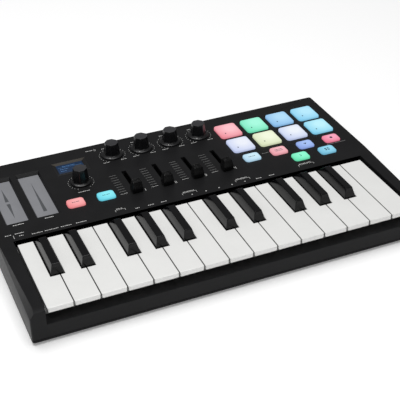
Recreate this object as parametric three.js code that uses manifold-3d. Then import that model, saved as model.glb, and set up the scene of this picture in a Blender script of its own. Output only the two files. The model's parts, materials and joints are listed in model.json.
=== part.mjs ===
// A 25-key mini MIDI keyboard controller, in millimetres, +Z up, keys towards -Y.
// The design frame has x = 0 at the left edge of the first white key, y = 0 at the
// key bodies' fronts, under the keys' lips, and z = 0 on the table. The outer group moves it so that
// the object's origin is under the middle of the case.
import * as THREE from "three";
import { ConvexGeometry } from "three/addons/geometries/ConvexGeometry.js";
import { mergeVertices } from "three/addons/utils/BufferGeometryUtils.js";
import Module from "manifold-3d";

const wasm = await Module();
wasm.setup();

// ---------------------------------------------------------------- driving sizes

// Keys
const whiteKeyCount = 15;
const keyPitch = 20;
const keyGap = 0.8;
const keySkin = 1.6;
const whiteTopLength = 71.9;
const whiteFrontHeight = 14;
const keyOverhang = 10.4; // the white keys' lips reach this far over the front rail
const keyLipHeight = 4;
const keyCornerCut = 0.9;
const keySkirtHeight = 10;
const keySkirtSetback = 2; // behind the thick front wall
const keyTailTaper = 4;
const frontEdgeRadius = 1.2;
const notchFrontY = 23.9;
const blackClearance = 0.6;
const blackFrontClearance = 1.1;
const blackBaseWidth = 10.1;
const blackTopWidth = 5.8;
const blackLift = 8;
const blackFrontSlope = 2.4;
const blackTopSetback = 8.9; // from the back of the key tops
const blackCentres = [0.905, 2.085, 3.88, 5.01, 6.13]; // in white keys from each C
const octaveKeys = 7;
const keyTravel = 5.4; // at the front of the key bodies
const tailHeight = 8;
const tailPastPivot = 3;
const pivotDepth = 18; // from the deck's front edge back to the key pivot
const pivotBelowTailTop = 5;
const pivotRadius = 1.5;
const pivotClearance = 0.4;
const actuatorY = 50;
const actuatorThickness = 4;

// Case
const wall = 2.4;
const deckThickness = 2.4;
const caseHeight = 27.3; // from the underside to the top of the deck
const keyFrontSetback = 13.1;
const keyRearGap = 3; // between the key tops and the deck's front edge
const deckDepth = 112.6;
const cheekWidth = 11.7;
const sideGap = 1.8;
const keyDrop = 1.9; // white key tops lie this far below the deck
const railDrop = 13.5; // the front rail's top lies this far below the deck
const railGap = 1.5;
const facetStart = 15; // the cheek facets start this far behind the deck's front edge
const facetWidth = 4.3;
const facetDrop = 6.5;
const noseLength = 6;
const noseDrop = 1;
const cornerRadius = 2;
const floorThickness = 2;
const seam = 0.3;
const lipHeight = 3.5;
const lipThickness = 1.6;
const footHeight = 2.5;
const footPlug = 1.2;
const footLength = 240;
const footWidth = 10;
const footCorner = 4;
const footInset = 22;
const postDiameter = 6;
const screwHole = 2.8;
const pilotDepth = 6;
const postJointHeight = 8;
const rearPosts = 3;
const postEdgeGap = 6;
const postHoleClearance = 0.75;

// Inside
const chassisStandoff = 2;
const chassisThickness = 2;
const chassisFrontY = 8;
const chassisTailY = 10; // behind the pivot
const chassisSideGap = 0.6;
const railEndInset = 0.5;
const supportCount = 6;
const supportWidth = 4;
const guideWidth = 3;
const guideDepth = 4;
const whiteGuideY = 12;
const blackGuideY = 36;
const guideSlack = 1;
const boardThickness = 1.6;
const contactBaseThickness = 1.2;
const contactDomeDiameter = 5;
const contactStripWidth = 14;
const contactStripInset = 4;
const keyBoardInset = 2;
const keyBoardMargin = 2;
const domeTaper = 0.6;
const boardDrop = 3.9; // deck underside to the control board's top
const boardFrontGap = 11;
const boardEdgeGap = 3;
const tailClearance = 1.9;
const loose = 0.3;
const sunk = 0.5; // how far a joined piece is let into its neighbour
const past = 1; // how far a cutting shape runs past what it cuts

// Panel: places are measured from the first key's left edge and the deck's front edge
const padColumns = 4;
const padRows = 2;
const firstPadX = 216.1;
const padWidth = 20;
const padDepth = 21.4;
const padGapX = 5.65;
const padGapY = 5.1;
const padLift = 2;
const padTravel = 1;
const padCorner = 2.6;
const buttonWidth = 14.2;
const buttonDepth = 11.2;
const buttonLift = 1.4;
const buttonTravel = 1;
const buttonCorner = 2.6;
const holeClearance = 0.45;
const flangeMargin = 1;
const flangeThickness = 1.2;
const pageRow = 19.9;
const pageColumn = 1.5; // the page buttons stand between the pad columns
const buttonRowGap = 4.8;
const padRowGap = 6.5;
const padSwitchWidth = 6;
const buttonSwitchWidth = 4;
const octaveRow = 30.8;
const firstOctaveX = 57.4;
const faderColumns = 4;
const firstFaderX = 108.3;
const faderPitch = 26.9;
const faderSlotWidth = 3.9;
const faderTravel = 30;
const faderLow = 27.8;
const faderSlotMargin = 3.4;
const faderBodyWidth = 9;
const faderBodyMargin = 4;
const faderBodyDepth = 7.4;
const faderStemWidth = 1.6;
const faderStemLength = 4;
const faderFloor = 2;
const capWidth = 9.2;
const capLength = 7.6;
const capTopLength = 5.6;
const capTopWidth = 7.2;
const capHeight = 10;
const capShoulder = 3.2; // the straight lower part of a fader cap
const capEdge = 1;
const capDip = 0.8;
const capGap = 0.8;
const knobRow = 89.9;
const knobSkirtDiameter = 19.6;
const encoderSkirtDiameter = 18;
const knobSkirtHeight = 3;
const knobRimHeight = 0.8;
const knobGap = 0.6;
const knobHeight = 12.6;
const encoderHeight = 14;
const gripBaseDiameter = 13.4;
const gripTopDiameter = 11.2;
const gripSides = 8;
const shaftDiameter = 6;
const shaftClearance = 0.5;
const shaftSides = 16;
const potWidth = 10.5;
const encoderX = 70.5;
const encoderRow = 59;
const displayX = 70.5;
const displayRow = 86.1;
const displayOpeningWidth = 29.9;
const displayOpeningDepth = 20.7;
const screenWidth = 23.6;
const screenDepth = 13.8;
const screenBackRun = 0.6;
const moduleMarginX = 2;
const moduleMarginY = 1.5;
const stripOpeningWidth = 19.8;
const stripOpeningLength = 68.4;
const stripFrontRow = 23.6;
const firstStripX = 8.4;
const stripPitch = 24.7;
const stripSideRun = 1.2;
const stripBackRun = 2.6;
const stripFrontRun = 1;
const stripBoardMargin = 3;

// Rear sockets
const usbX = 250;
const usbWidth = 8.6;
const usbHeight = 7.8;
const usbDepth = 9;
const jackX = 215;
const jackBore = 6.6;
const jackDepth = 16;
const socketShell = 1.6;
const socketRiser = 4;
const jackWall = 2;
const socketHoleClearance = 0.4;

// ---------------------------------------------------------------- derived places

const keybedWidth = whiteKeyCount * keyPitch;
const keyBayDepth = whiteTopLength + keyRearGap;
const caseLeft = -(sideGap + cheekWidth);
const caseRight = keybedWidth + sideGap + cheekWidth;
const caseFront = -keyFrontSetback;
const caseRear = keyBayDepth + deckDepth;
const floorTop = footHeight + floorThickness;
const shellBottom = floorTop + seam;
const deckTop = footHeight + caseHeight;
const deckBottom = deckTop - deckThickness;
const keyTop = deckTop - keyDrop;
const railTop = deckTop - railDrop;
const boardTop = deckBottom - boardDrop;
const boardBottom = boardTop - boardThickness;
const tailTop = boardBottom - tailClearance;
const tailBottom = tailTop - tailHeight;
const pivotY = keyBayDepth + pivotDepth;
const pivotZ = tailTop - pivotBelowTailTop;
const tailEnd = pivotY + tailPastPivot;
const chassisTop = floorTop + chassisStandoff + chassisThickness;
const skirtBottom = keyTop - keySkirtHeight;
const notchWidth = blackBaseWidth + 2 * blackClearance;
const notchHalf = notchWidth / 2;
const blackFrontY = notchFrontY + blackFrontClearance;
const padPitchX = padWidth + padGapX;
const padPitchY = padDepth + padGapY;
const transportRow = pageRow + buttonDepth + buttonRowGap;
const firstPadRow = transportRow + (buttonDepth + padDepth) / 2 + padRowGap;
const shaftBore = shaftDiameter + 2 * shaftClearance;
const padFlangeBottom = boardTop + padTravel + loose;
const buttonFlangeBottom = boardTop + buttonTravel + loose;
const socketFloor = floorTop + lipHeight + loose;
const usbZ = socketFloor + socketShell + usbHeight / 2;
const jackHalf = jackBore / 2 + socketShell + jackWall;
const jackZ = socketFloor + jackHalf;

// ---------------------------------------------------------------- solid helpers

function solidOf(geometry) {
  const plain = geometry.clone();
  plain.deleteAttribute("normal");
  plain.deleteAttribute("uv");
  const merged = mergeVertices(plain, 1e-4);
  const mesh = new wasm.Mesh({
    numProp: 3,
    vertProperties: new Float32Array(merged.attributes.position.array),
    triVerts: new Uint32Array(merged.index.array),
  });
  return new wasm.Manifold(mesh);
}

function geometryOf(solid) {
  const mesh = solid.getMesh();
  const geometry = new THREE.BufferGeometry();
  geometry.setAttribute("position", new THREE.BufferAttribute(new Float32Array(mesh.vertProperties), 3));
  geometry.setIndex(new THREE.BufferAttribute(new Uint32Array(mesh.triVerts), 1));
  geometry.computeVertexNormals();
  return geometry;
}

function join(...solids) {
  return solids.reduce((whole, solid) => whole.add(solid));
}

function cut(solid, ...tools) {
  return tools.reduce((rest, tool) => rest.subtract(tool), solid);
}

function box(x0, x1, y0, y1, z0, z1) {
  const geometry = new THREE.BoxGeometry(x1 - x0, y1 - y0, z1 - z0);
  geometry.translate((x0 + x1) / 2, (y0 + y1) / 2, (z0 + z1) / 2);
  return solidOf(geometry);
}

function outline(points) {
  return new THREE.Shape(points.map(([x, y]) => new THREE.Vector2(x, y)));
}

function extrude(shape, depth, curveSegments = 4) {
  return new THREE.ExtrudeGeometry(shape, { depth, curveSegments, bevelEnabled: false });
}

// A plan outline in x and y, raised from z0 to z1.
function prismZ(shape, z0, z1, curveSegments) {
  const geometry = extrude(shape, z1 - z0, curveSegments);
  geometry.translate(0, 0, z0);
  return solidOf(geometry);
}

// A side outline in y and z, swept from x0 to x1.
function prismX(shape, x0, x1, curveSegments) {
  const geometry = extrude(shape, x1 - x0, curveSegments);
  const turn = new THREE.Matrix4();
  turn.set(0, 0, 1, x0, 1, 0, 0, 0, 0, 1, 0, 0, 0, 0, 0, 1);
  geometry.applyMatrix4(turn);
  return solidOf(geometry);
}

// A section in x and z, swept from y0 to y1.
function prismY(shape, y0, y1) {
  const geometry = extrude(shape, y1 - y0);
  const turn = new THREE.Matrix4();
  turn.set(1, 0, 0, 0, 0, 0, -1, y1, 0, 1, 0, 0, 0, 0, 0, 1);
  geometry.applyMatrix4(turn);
  return solidOf(geometry);
}

function roundedRectangle(x0, x1, y0, y1, radius) {
  const shape = new THREE.Shape();
  shape.moveTo(x0 + radius, y0);
  shape.lineTo(x1 - radius, y0);
  shape.absarc(x1 - radius, y0 + radius, radius, -Math.PI / 2, 0, false);
  shape.lineTo(x1, y1 - radius);
  shape.absarc(x1 - radius, y1 - radius, radius, 0, Math.PI / 2, false);
  shape.lineTo(x0 + radius, y1);
  shape.absarc(x0 + radius, y1 - radius, radius, Math.PI / 2, Math.PI, false);
  shape.lineTo(x0, y0 + radius);
  shape.absarc(x0 + radius, y0 + radius, radius, Math.PI, 1.5 * Math.PI, false);
  return shape;
}

function centredBlock(x, y, width, depth, radius, z0, z1) {
  const shape = roundedRectangle(x - width / 2, x + width / 2, y - depth / 2, y + depth / 2, radius);
  return prismZ(shape, z0, z1, 3);
}

function cylinderZ(x, y, z0, z1, bottomDiameter, topDiameter, sides) {
  const geometry = new THREE.CylinderGeometry(topDiameter / 2, bottomDiameter / 2, z1 - z0, sides);
  geometry.rotateX(Math.PI / 2);
  geometry.translate(x, y, (z0 + z1) / 2);
  return solidOf(geometry);
}

function cylinderY(x, z, y0, y1, diameter, sides) {
  const geometry = new THREE.CylinderGeometry(diameter / 2, diameter / 2, y1 - y0, sides);
  geometry.translate(x, (y0 + y1) / 2, z);
  return solidOf(geometry);
}

// A recess that narrows downwards, from a lower rectangle at z0 to an upper one at z1.
function taperedRecess(lower, z0, upper, z1) {
  const corners = [];
  for (const [rectangle, z] of [[lower, z0], [upper, z1]]) {
    const [x0, x1, y0, y1] = rectangle;
    corners.push(x0, y0, z, x1, y0, z, x1, y1, z, x0, y1, z);
  }
  const geometry = new THREE.BufferGeometry();
  geometry.setAttribute("position", new THREE.Float32BufferAttribute(corners, 3));
  geometry.setIndex([
    0, 2, 1, 0, 3, 2, 4, 5, 6, 4, 6, 7, 0, 1, 5, 0, 5, 4,
    1, 2, 6, 1, 6, 5, 2, 3, 7, 2, 7, 6, 3, 0, 4, 3, 4, 7,
  ]);
  return solidOf(geometry);
}

function twoDigits(number) {
  return String(number).padStart(2, "0");
}

// ---------------------------------------------------------------- places that repeat

const indexes = (count) => Array.from({ length: count }, (_, index) => index);

const blackKeys = indexes(Math.floor(whiteKeyCount / octaveKeys)).flatMap((octave) =>
  blackCentres.map((centre) => (octave * octaveKeys + centre) * keyPitch)
);

const padPlaces = indexes(padRows).flatMap((row) =>
  indexes(padColumns).map((column) => ({
    x: firstPadX + column * padPitchX,
    y: keyBayDepth + firstPadRow + (padRows - 1 - row) * padPitchY,
  }))
);

const transportPlaces = indexes(padColumns).map((column) => ({
  x: firstPadX + column * padPitchX,
  y: keyBayDepth + transportRow,
}));

const pagePlaces = indexes(2).map((column) => ({
  x: firstPadX + (column + pageColumn) * padPitchX,
  y: keyBayDepth + pageRow,
}));

const octavePlaces = indexes(2).map((column) => ({
  x: firstOctaveX + column * padPitchX,
  y: keyBayDepth + octaveRow,
}));

const buttonPlaces = [...octavePlaces, ...transportPlaces, ...pagePlaces];

const knobPlaces = indexes(faderColumns).map((column) => ({
  x: firstFaderX + column * faderPitch,
  y: keyBayDepth + knobRow,
}));

const encoderPlace = { x: encoderX, y: keyBayDepth + encoderRow };

const faderXs = indexes(faderColumns).map((column) => firstFaderX + column * faderPitch);

const faderLowY = keyBayDepth + faderLow;

const stripXs = indexes(2).map((column) => firstStripX + column * stripPitch);

const stripFrontY = keyBayDepth + stripFrontRow;

const cheekMiddle = sideGap + cheekWidth / 2;

const postPlaces = [
  ...[-cheekMiddle, keybedWidth + cheekMiddle].flatMap((x) => [
    { x, y: keyFrontSetback },
    { x, y: keyBayDepth - keyFrontSetback },
  ]),
  ...indexes(rearPosts).map((column) => ({
    x: ((caseRight - caseLeft) * (2 * column + 1)) / (2 * rearPosts) + caseLeft,
    y: caseRear - wall - postEdgeGap,
  })),
];

// ---------------------------------------------------------------- keys

function whiteKeyProfile() {
  const shape = new THREE.Shape();
  shape.moveTo(-keyOverhang, keyTop - keyLipHeight);
  shape.lineTo(0, keyTop - keyLipHeight);
  shape.lineTo(0, keyTop - whiteFrontHeight);
  shape.lineTo(keySkin, keyTop - whiteFrontHeight);
  shape.lineTo(keySkin + keySkirtSetback, skirtBottom);
  shape.lineTo(whiteTopLength - keyTailTaper, skirtBottom);
  shape.lineTo(whiteTopLength, tailBottom);
  shape.lineTo(tailEnd, tailBottom);
  shape.lineTo(tailEnd, tailTop);
  shape.lineTo(whiteTopLength, tailTop);
  shape.lineTo(whiteTopLength, keyTop);
  const arcY = frontEdgeRadius - keyOverhang;
  shape.lineTo(arcY, keyTop);
  shape.absarc(arcY, keyTop - frontEdgeRadius, frontEdgeRadius, Math.PI / 2, Math.PI, false);
  return shape;
}

// The slot under a key's tail that sits over the chassis' pivot rail.
function pivotSlot(x0, x1) {
  const half = pivotRadius + pivotClearance;
  return box(x0 - past, x1 + past, pivotY - half, pivotY + half, tailBottom - past, pivotZ + half);
}

function keyHollows(x0, x1, y0, y1) {
  const middle = [actuatorY - actuatorThickness / 2, actuatorY + actuatorThickness / 2];
  const roof = keyTop - keySkin;
  return [
    box(x0, x1, y0, middle[0], 0, roof),
    box(x0, x1, middle[1], y1, 0, roof),
  ];
}

function whiteKeySpan(index) {
  const left = index * keyPitch + keyGap / 2;
  const right = (index + 1) * keyPitch - keyGap / 2;
  const leftNotch = blackKeys.find((x) => Math.abs(x - index * keyPitch) < notchHalf);
  const rightNotch = blackKeys.find((x) => Math.abs(x - (index + 1) * keyPitch) < notchHalf);
  const rearLeft = leftNotch === undefined ? left : leftNotch + notchHalf;
  const rearRight = rightNotch === undefined ? right : rightNotch - notchHalf;
  return { left, right, rearLeft, rearRight };
}

function whiteKey(index) {
  const { left, right, rearLeft, rearRight } = whiteKeySpan(index);
  const reach = keyCornerCut + past;
  const plan = outline([
    [left, keyCornerCut - keyOverhang], [left + reach, -keyOverhang - past],
    [right - reach, -keyOverhang - past], [right, keyCornerCut - keyOverhang],
    [right, notchFrontY], [rearRight, notchFrontY],
    [rearRight, tailEnd + past], [rearLeft, tailEnd + past], [rearLeft, notchFrontY], [left, notchFrontY],
  ]);
  const body = prismX(whiteKeyProfile(), left, right, 3).intersect(prismZ(plan, 0, deckTop));
  const frontHollow = box(
    left + keySkin, right - keySkin, keySkin, notchFrontY - keySkin, 0, keyTop - keySkin
  );
  const lipHollow = box(
    left + keySkin, right - keySkin, keySkin - keyOverhang, 0, 0, keyTop - keySkin
  );
  const rearHollows = keyHollows(
    rearLeft + keySkin, rearRight - keySkin, notchFrontY - 2 * keySkin, whiteTopLength - keyTailTaper
  );
  return cut(body, frontHollow, lipHollow, ...rearHollows, pivotSlot(rearLeft, rearRight));
}

function blackKeyProfile() {
  const top = keyTop + blackLift;
  return outline([
    [blackFrontY, skirtBottom], [whiteTopLength - keyTailTaper, skirtBottom], [whiteTopLength, tailBottom],
    [tailEnd, tailBottom], [tailEnd, tailTop], [whiteTopLength, tailTop],
    [whiteTopLength, keyTop], [whiteTopLength - blackTopSetback, top], [blackFrontY + blackFrontSlope, top],
    [blackFrontY, keyTop],
  ]);
}

function blackKey(x) {
  const base = blackBaseWidth / 2;
  const crown = blackTopWidth / 2;
  const section = outline([
    [x - base, 0], [x + base, 0], [x + base, keyTop],
    [x + crown, keyTop + blackLift], [x - crown, keyTop + blackLift], [x - base, keyTop],
  ]);
  const body = prismX(blackKeyProfile(), x - base, x + base).intersect(prismY(section, 0, tailEnd + past));
  const hollows = keyHollows(
    x - base + keySkin, x + base - keySkin, blackFrontY + keySkin, whiteTopLength - keyTailTaper
  );
  return cut(body, ...hollows, pivotSlot(x - base, x + base));
}

// ---------------------------------------------------------------- case

function sectionUnderDeck(x0, x1, y0, y1, roof) {
  return box(x0, x1, y0, y1, shellBottom - past, roof);
}

// Cuts the long facet off a cheek's outer top edge: nothing at its rear end, full size
// at the front of the case.
function cheekFacet(side) {
  const edge = side < 0 ? caseLeft : caseRight;
  const out = edge + side * past;
  const rear = keyBayDepth + facetStart;
  const rise = (past * facetDrop) / facetWidth;
  const points = [
    [edge, rear, deckTop],
    [edge - side * facetWidth, caseFront, deckTop],
    [edge, caseFront, deckTop - facetDrop],
    [out, caseFront, deckTop - facetDrop - rise],
    [out, rear, deckTop - rise],
  ];
  const raised = points.map(([x, y]) => [x, y, deckTop + past]);
  const corners = [...points, ...raised].map(([x, y, z]) => new THREE.Vector3(x, y, z));
  return solidOf(new ConvexGeometry(corners));
}

// Lowers the front end of the case top a little, so that it slopes to the front face.
function noseCut() {
  const shape = outline([
    [caseFront - past, deckTop - (noseDrop * (noseLength + past)) / noseLength],
    [caseFront + noseLength, deckTop],
    [caseFront + noseLength, deckTop + past],
    [caseFront - past, deckTop + past],
  ]);
  return prismX(shape, caseLeft - past, caseRight + past);
}

// The keys' bay: open through the case, with the deck's front edge undercut.
function keyBay() {
  const shape = outline([
    [-railGap, 0], [keyBayDepth + deckThickness, 0], [keyBayDepth + deckThickness, deckBottom],
    [keyBayDepth, deckTop], [keyBayDepth, deckTop + past], [caseFront - past, deckTop + past],
    [caseFront - past, railTop], [-railGap, railTop],
  ]);
  return prismX(shape, -sideGap, keybedWidth + sideGap);
}

function shellHollows() {
  const left = caseLeft + wall;
  const right = caseRight - wall;
  const rear = caseRear - wall;
  const front = caseFront + wall;
  const bayLeft = -sideGap - wall;
  const bayRight = keybedWidth + sideGap + wall;
  const cheekRoof = deckTop - facetDrop - deckThickness;
  const deckFront = keyBayDepth + wall;
  const deckRoom = sectionUnderDeck(left, right, deckFront, rear, deckBottom);
  const leftCheek = sectionUnderDeck(left, bayLeft, front, deckFront + past, cheekRoof);
  const rightCheek = sectionUnderDeck(bayRight, right, front, deckFront + past, cheekRoof);
  const rail = sectionUnderDeck(left, right, front, -railGap - wall, railTop - wall);
  return [deckRoom, leftCheek, rightCheek, rail];
}

function panelHoles() {
  const above = deckTop + past;
  const below = deckBottom - past;
  const pads = padPlaces.map(({ x, y }) =>
    centredBlock(
      x, y, padWidth + 2 * holeClearance, padDepth + 2 * holeClearance,
      padCorner + holeClearance, below, above
    )
  );
  const buttons = buttonPlaces.map(({ x, y }) =>
    centredBlock(
      x, y, buttonWidth + 2 * holeClearance, buttonDepth + 2 * holeClearance,
      buttonCorner + holeClearance, below, above
    )
  );
  const shafts = [encoderPlace, ...knobPlaces].map(({ x, y }) =>
    cylinderZ(x, y, below, above, shaftBore, shaftBore, shaftSides)
  );
  const slots = faderXs.map((x) =>
    box(
      x - faderSlotWidth / 2, x + faderSlotWidth / 2,
      faderLowY - faderSlotMargin, faderLowY + faderTravel + faderSlotMargin, below, above
    )
  );
  return [...pads, ...buttons, ...shafts, ...slots];
}

function displayRecess() {
  const y = keyBayDepth + displayRow;
  const outerBack = y + displayOpeningDepth / 2;
  const upper = [
    displayX - displayOpeningWidth / 2, displayX + displayOpeningWidth / 2,
    outerBack - displayOpeningDepth, outerBack,
  ];
  const innerBack = outerBack - screenBackRun;
  const lower = [
    displayX - screenWidth / 2, displayX + screenWidth / 2, innerBack - screenDepth, innerBack,
  ];
  return taperedRecess(lower, deckBottom, upper, deckTop).add(
    taperedRecess(lower, deckBottom - past, lower, deckBottom)
  );
}

function stripRecess(x) {
  const half = stripOpeningWidth / 2;
  const back = stripFrontY + stripOpeningLength;
  const upper = [x - half, x + half, stripFrontY, back];
  const lower = [
    x - half + stripSideRun, x + half - stripSideRun, stripFrontY + stripFrontRun, back - stripBackRun,
  ];
  return taperedRecess(lower, deckBottom, upper, deckTop).add(
    taperedRecess(lower, deckBottom - past, lower, deckBottom)
  );
}

function socketHoles() {
  const width = usbWidth + 2 * (socketShell + socketHoleClearance);
  const height = usbHeight + 2 * (socketShell + socketHoleClearance);
  const nose = jackBore + 2 * (socketShell + socketHoleClearance);
  return [
    box(usbX - width / 2, usbX + width / 2, caseRear - wall - past, caseRear + past,
      usbZ - height / 2, usbZ + height / 2),
    cylinderY(jackX, jackZ, caseRear - wall - past, caseRear + past, nose, shaftSides),
  ];
}

function topPosts() {
  return postPlaces.map(({ x, y }) => {
    const roof = y > keyBayDepth ? deckTop - deckThickness / 2 : deckTop - facetDrop - deckThickness / 2;
    const bottom = floorTop + postJointHeight + loose;
    const post = cylinderZ(x, y, bottom, roof, postDiameter, postDiameter, 12);
    const pilot = cylinderZ(x, y, bottom - past, bottom + pilotDepth, screwHole, screwHole, 8);
    return post.subtract(pilot);
  });
}

function topCase() {
  const plan = roundedRectangle(caseLeft, caseRight, caseFront, caseRear, cornerRadius);
  const block = prismZ(plan, shellBottom, deckTop, 3);
  const shell = cut(block, ...shellHollows(), keyBay());
  const shaped = cut(shell, noseCut(), cheekFacet(-1), cheekFacet(1), ...socketHoles());
  const pierced = cut(shaped, ...panelHoles(), displayRecess(), ...stripXs.map(stripRecess));
  return join(pierced, ...topPosts());
}

function footRecesses() {
  return [caseFront + footInset, caseRear - footInset].map((y) =>
    centredBlock(
      keybedWidth / 2, y, footLength + 2 * loose, footWidth + 2 * loose, footCorner,
      footHeight - past, footHeight + footPlug
    )
  );
}

function bottomCase() {
  const plan = roundedRectangle(caseLeft, caseRight, caseFront, caseRear, cornerRadius);
  const plate = prismZ(plan, footHeight, floorTop, 3);
  const edge = wall + loose;
  const rim = box(
    caseLeft + edge, caseRight - edge, caseFront + edge, caseRear - edge,
    floorTop - sunk, floorTop + lipHeight
  );
  const inner = edge + lipThickness;
  const room = box(
    caseLeft + inner, caseRight - inner, caseFront + inner, caseRear - inner,
    floorTop - past, deckTop
  );
  const bayWalls = cut(
    box(-sideGap - wall - loose, keybedWidth + sideGap + wall + loose, caseFront, keyBayDepth + facetStart,
      floorTop, deckTop),
    box(-sideGap + loose, keybedWidth + sideGap - loose, -railGap + loose, caseRear, 0, deckTop)
  );
  const supports = indexes(supportCount).map((column) => {
    const x0 = (keybedWidth * (2 * column + 1)) / (2 * supportCount) - supportWidth / 2;
    return box(
      x0, x0 + supportWidth, chassisFrontY + supportWidth, pivotY - supportWidth,
      floorTop - sunk, floorTop + chassisStandoff - loose
    );
  });
  const posts = postPlaces.map(({ x, y }) =>
    cylinderZ(x, y, floorTop - sunk, floorTop + postJointHeight, postDiameter, postDiameter, 12)
  );
  const holes = postPlaces.map(({ x, y }) =>
    cylinderZ(x, y, footHeight - past, floorTop + postJointHeight + past, screwHole, screwHole, 8)
  );
  const lip = cut(rim, room, bayWalls);
  return cut(join(plate, lip, ...supports, ...posts), ...footRecesses(), ...holes);
}

function footStrip(y) {
  return centredBlock(
    keybedWidth / 2, y, footLength, footWidth, footCorner, 0, footHeight + footPlug - loose
  );
}

// ---------------------------------------------------------------- key mechanism

function keyCentres() {
  const whites = indexes(whiteKeyCount).map((index) => {
    const { rearLeft, rearRight } = whiteKeySpan(index);
    return { x: (rearLeft + rearRight) / 2, guideY: whiteGuideY };
  });
  return [...whites, ...blackKeys.map((x) => ({ x, guideY: blackGuideY }))];
}

function pressedDrop(y) {
  return (keyTravel * (pivotY - y)) / pivotY;
}

function keyChassis() {
  const x0 = -sideGap + chassisSideGap;
  const x1 = keybedWidth + sideGap - chassisSideGap;
  const plate = box(
    x0, x1, chassisFrontY, pivotY + chassisTailY, chassisTop - chassisThickness, chassisTop
  );
  const ridge = new THREE.Shape();
  ridge.moveTo(pivotY - pivotRadius, chassisTop - sunk);
  ridge.lineTo(pivotY + pivotRadius, chassisTop - sunk);
  ridge.absarc(pivotY, pivotZ, pivotRadius, 0, Math.PI, false);
  const rail = prismX(ridge, x0 + railEndInset, x1 - railEndInset, 6);
  const guides = keyCentres().map(({ x, guideY }) =>
    box(
      x - guideWidth / 2, x + guideWidth / 2, guideY - guideDepth / 2, guideY + guideDepth / 2,
      chassisTop - sunk, keyTop - keySkin - pressedDrop(guideY) - guideSlack
    )
  );
  return join(plate, rail, ...guides);
}

function keyBoard() {
  const z0 = chassisTop + loose;
  const half = contactStripWidth / 2 + keyBoardMargin;
  return box(
    keyBoardInset, keybedWidth - keyBoardInset, actuatorY - half, actuatorY + half,
    z0, z0 + boardThickness
  );
}

function contactStrip() {
  const z0 = chassisTop + loose + boardThickness + loose;
  const z1 = z0 + contactBaseThickness;
  const half = contactStripWidth / 2;
  const base = box(
    contactStripInset, keybedWidth - contactStripInset, actuatorY - half, actuatorY + half, z0, z1
  );
  const domeTop = skirtBottom - pressedDrop(actuatorY - actuatorThickness / 2) - loose;
  const domes = keyCentres().map(({ x }) =>
    cylinderZ(
      x, actuatorY, z1 - sunk, domeTop, contactDomeDiameter, contactDomeDiameter * domeTaper, 8
    )
  );
  return join(base, ...domes);
}

// ---------------------------------------------------------------- electronics

function potBody({ x, y }) {
  const half = potWidth / 2;
  return box(x - half, x + half, y - half, y + half, boardTop - sunk, deckBottom - loose);
}

function faderBody(x) {
  const y0 = faderLowY - faderStemLength / 2 - faderBodyMargin;
  const y1 = faderLowY + faderTravel + faderStemLength / 2 + faderBodyMargin;
  const top = deckBottom - loose;
  const half = faderBodyWidth / 2;
  const stem = faderStemWidth / 2 + shaftClearance;
  const body = box(x - half, x + half, y0, y1, top - faderBodyDepth, top);
  const channel = box(x - stem, x + stem, y0 + faderBodyMargin - shaftClearance,
    y1 - faderBodyMargin + shaftClearance, top - faderBodyDepth + faderFloor, deckTop);
  return { body, channel };
}

function usbSocket() {
  const width = usbWidth / 2 + socketShell;
  const height = usbHeight / 2 + socketShell;
  const y1 = caseRear - loose;
  const y0 = y1 - usbDepth - socketRiser;
  const shell = box(usbX - width, usbX + width, y0, y1, usbZ - height, usbZ + height);
  const riser = box(usbX - width, usbX + width, y0, y0 + socketRiser, usbZ, boardBottom + sunk);
  const mouth = box(usbX - usbWidth / 2, usbX + usbWidth / 2, y1 - usbDepth, y1 + past,
    usbZ - usbHeight / 2, usbZ + usbHeight / 2);
  return shell.add(riser).subtract(mouth);
}

function pedalJack() {
  const y1 = caseRear - wall - loose;
  const y0 = y1 - jackDepth;
  const body = box(
    jackX - jackHalf, jackX + jackHalf, y0, y1, jackZ - jackHalf, boardBottom + sunk
  );
  const noseDiameter = jackBore + 2 * socketShell;
  const nose = cylinderY(jackX, jackZ, y1 - sunk, caseRear - loose, noseDiameter, shaftSides);
  const bore = cylinderY(jackX, jackZ, y0 + jackWall, caseRear + past, jackBore, shaftSides);
  return body.add(nose).subtract(bore);
}

function switchBlocks(places, width) {
  const half = width / 2;
  return places.map(({ x, y }) =>
    box(x - half, x + half, y - half, y + half, boardBottom, boardTop + loose / 2)
  );
}

function controlBoard() {
  const edge = wall + boardEdgeGap;
  const board = box(
    caseLeft + edge, caseRight - edge, keyBayDepth + boardFrontGap, caseRear - edge, boardBottom, boardTop
  );
  const postHole = postDiameter + 2 * postHoleClearance;
  const posts = postPlaces.filter(({ y }) => y > keyBayDepth).map(({ x, y }) =>
    cylinderZ(x, y, boardBottom - past, boardTop + past, postHole, postHole, 12)
  );
  const knobs = [encoderPlace, ...knobPlaces];
  const faders = faderXs.map(faderBody);
  const parts = [
    cut(board, ...posts), ...switchBlocks(padPlaces, padSwitchWidth),
    ...switchBlocks(buttonPlaces, buttonSwitchWidth), ...knobs.map(potBody),
    ...faders.map(({ body }) => body), usbSocket(), pedalJack(),
  ];
  const shaftBores = knobs.map(({ x, y }) =>
    cylinderZ(x, y, boardTop, deckTop, shaftBore, shaftBore, shaftSides)
  );
  return cut(join(...parts), ...shaftBores, ...faders.map(({ channel }) => channel));
}

function displayModule() {
  const y = keyBayDepth + displayRow + displayOpeningDepth / 2 - screenBackRun - screenDepth / 2;
  const halfWidth = screenWidth / 2 + moduleMarginX;
  const halfDepth = screenDepth / 2 + moduleMarginY;
  return box(
    displayX - halfWidth, displayX + halfWidth, y - halfDepth, y + halfDepth,
    boardTop + loose, deckBottom - loose
  );
}

function touchBoard() {
  const top = deckBottom - loose;
  const half = stripOpeningWidth / 2 + stripBoardMargin;
  const back = stripFrontY + stripOpeningLength;
  return box(
    stripXs[0] - half, stripXs[1] + half, stripFrontY - stripBoardMargin, back + stripBoardMargin,
    top - boardThickness, top
  );
}

// ---------------------------------------------------------------- controls

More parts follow.
